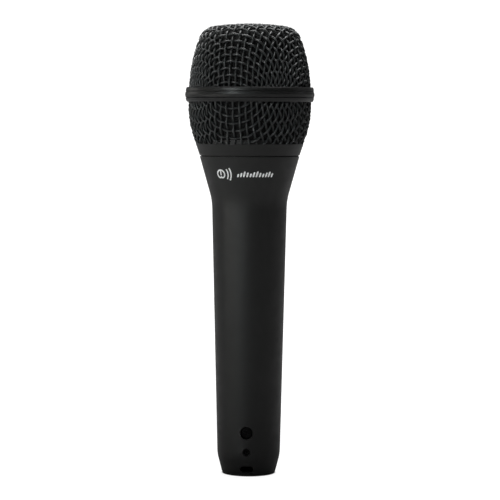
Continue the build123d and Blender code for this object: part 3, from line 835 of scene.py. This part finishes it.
# =====================================================================================
# studio
# =====================================================================================
PAINTED_FOOT_SHADE_EDGE = (0.0088, 0.0114)   # painted contact shadow: the camera-only lift of the backdrop fades in across this ring round the foot, so the floor just outside the rim shows darker, over the floor's own shaded light
MAT_EDGE = (0.05, 0.16)        # a darker mat under the object keeps its lower half deep
FAR_EDGE = (0.16, 1.5)
MAT_GREY = 0.13
NEAR_LIFT, MAT_LIFT, FAR_LIFT = 0.94, -0.12, 0.15      # light added for the camera only
LIGHT_DISTANCE = 1.3


def sweep_material():
    """Paper backdrop: lifted to white where the picture shows it, and grey to the object."""
    s = Shader("studio_white", Roughness=0.9, Specular_IOR_Level=0.1)
    reach = s.nodes.new("ShaderNodeVectorMath")
    reach.operation = "LENGTH"
    s.link(s.place, reach.inputs[0])
    distance = reach.outputs["Value"]
    paper = s.mix(s.ramp(s.noise(0.4), 0.3, 0.7), grey(0.275), grey(0.285))
    s.colour(s.mix(s.ramp(distance, *MAT_EDGE), grey(MAT_GREY), paper))
    s.bsdf.inputs["Emission Color"].default_value = (1.0, 1.0, 1.0, 1.0)
    # painted contact shadow: no camera-only lift right round the foot, so a darker ring shows
    # there
    lift_past_painted_foot_shade = s.ramp(distance, *PAINTED_FOOT_SHADE_EDGE, 0.0, NEAR_LIFT)
    mat = s.ramp(distance, *MAT_EDGE, 0.0, MAT_LIFT)
    far = s.ramp(distance, *FAR_EDGE, 0.0, FAR_LIFT)
    lift = s.math("ADD", s.math("ADD", lift_past_painted_foot_shade, mat), far)
    seen = s.nodes.new("ShaderNodeLightPath").outputs["Is Camera Ray"]
    s.link(s.math("MULTIPLY", seen, lift), s.bsdf.inputs["Emission Strength"])
    return s.material


def studio_floor():
    """A floor that curves up into a wall far behind."""
    half, depth, radius, top = 4.0, 2.6, 1.2, 4.0
    line = [(-4.0, 0.0)]
    line += [
        (depth - radius + radius * sin(a), radius - radius * cos(a))
        for a in np.linspace(0, pi / 2, 24)
    ]
    line += [(depth, top)]
    vertices = [(x, y, z) for y, z in line for x in (-half, half)]
    floor = mesh_object("studio_floor", vertices, grid_faces(len(line), 2))
    floor.data.materials.append(sweep_material())


def area_light(name, at, to, size, power, colour=(1, 1, 1)):
    data = bpy.data.lights.new(name, "AREA")
    data.shape = "RECTANGLE"
    data.size, data.size_y = size
    data.energy = power
    data.color = colour
    light = bpy.data.objects.new(name, data)
    bpy.context.scene.collection.objects.link(light)
    light.location = at
    light.rotation_mode = "QUATERNION"
    light.rotation_quaternion = (Vector(to) - Vector(at)).to_track_quat("-Z", "Y")
    light.visible_camera = False
    return light


def spot_light(name, azimuth, height, power, aim=0.20, cone=24.0, soft=0.35, colour=(1, 1, 1)):
    """A soft round light beside the camera, kept off the floor by its cone."""
    data = bpy.data.lights.new(name, "SPOT")
    data.energy = power
    data.color = colour
    data.spot_size = radians(cone)
    data.spot_blend = 1.0
    data.shadow_soft_size = soft
    light = bpy.data.objects.new(name, data)
    bpy.context.scene.collection.objects.link(light)
    side = radians(azimuth)
    light.location = (LIGHT_DISTANCE * sin(side), -LIGHT_DISTANCE * cos(side), height)
    light.rotation_mode = "QUATERNION"
    light.rotation_quaternion = (Vector((0.0, 0.0, aim)) - light.location).to_track_quat("-Z", "Y")
    light.visible_camera = False
    return light


studio_floor()
WARM = (1.0, 0.99, 0.94)        # the colours of the lights
COOL = (0.96, 1.0, 1.0)
COOL_RIM = (0.95, 0.99, 1.0)
COOL_HEAD = (0.92, 1.0, 1.0)
COOL_HIGH = (0.88, 1.0, 1.0)
spot_light("left_front", -45, 0.12, 29.0, cone=20.0, colour=WARM)
spot_light("left_side", -70, 0.12, 29.0, cone=20.0, colour=WARM)
spot_light("left_rim", -120, 0.45, 9.0, colour=WARM)
spot_light("front", -20, 0.45, 8.5, colour=COOL)
spot_light("right_rim", 110, 0.45, 2.4, cone=19.0, colour=COOL_RIM)
spot_light("head_front", -30, 0.50, 40.0, aim=0.160, cone=9.0, soft=0.16, colour=COOL_HEAD)
spot_light("head_high", -10, 1.15, 12.0, aim=0.160, cone=9.0, soft=0.15, colour=COOL_HIGH)
spot_light("cone_left", -60, 0.02, 2.4, aim=0.122, cone=6.0, soft=0.06, colour=WARM)
spot_light("cone_front", -15, 0.02, 3.0, aim=0.122, cone=6.0, soft=0.06)
area_light("top_box", (0.0, 0.5, 1.6), (0, 0.4, 0.0), (1.6, 1.2), 44.0)
area_light("wall_light", (0.0, 1.0, 2.4), (0, 2.5, 0.6), (3.0, 1.0), 17.0)

world = bpy.data.worlds.new("studio")
bpy.context.scene.world = world
world.use_nodes = True
sky = world.node_tree.nodes["Background"]
path = world.node_tree.nodes.new("ShaderNodeLightPath")
level = world.node_tree.nodes.new("ShaderNodeMapRange")
level.inputs["To Min"].default_value = 0.02
level.inputs["To Max"].default_value = 1.0
world.node_tree.links.new(path.outputs["Is Camera Ray"], level.inputs["Value"])
world.node_tree.links.new(level.outputs[0], sky.inputs["Strength"])
sky.inputs["Color"].default_value = (1.0, 1.0, 1.0, 1.0)
bpy.context.scene.view_settings.view_transform = "Standard"
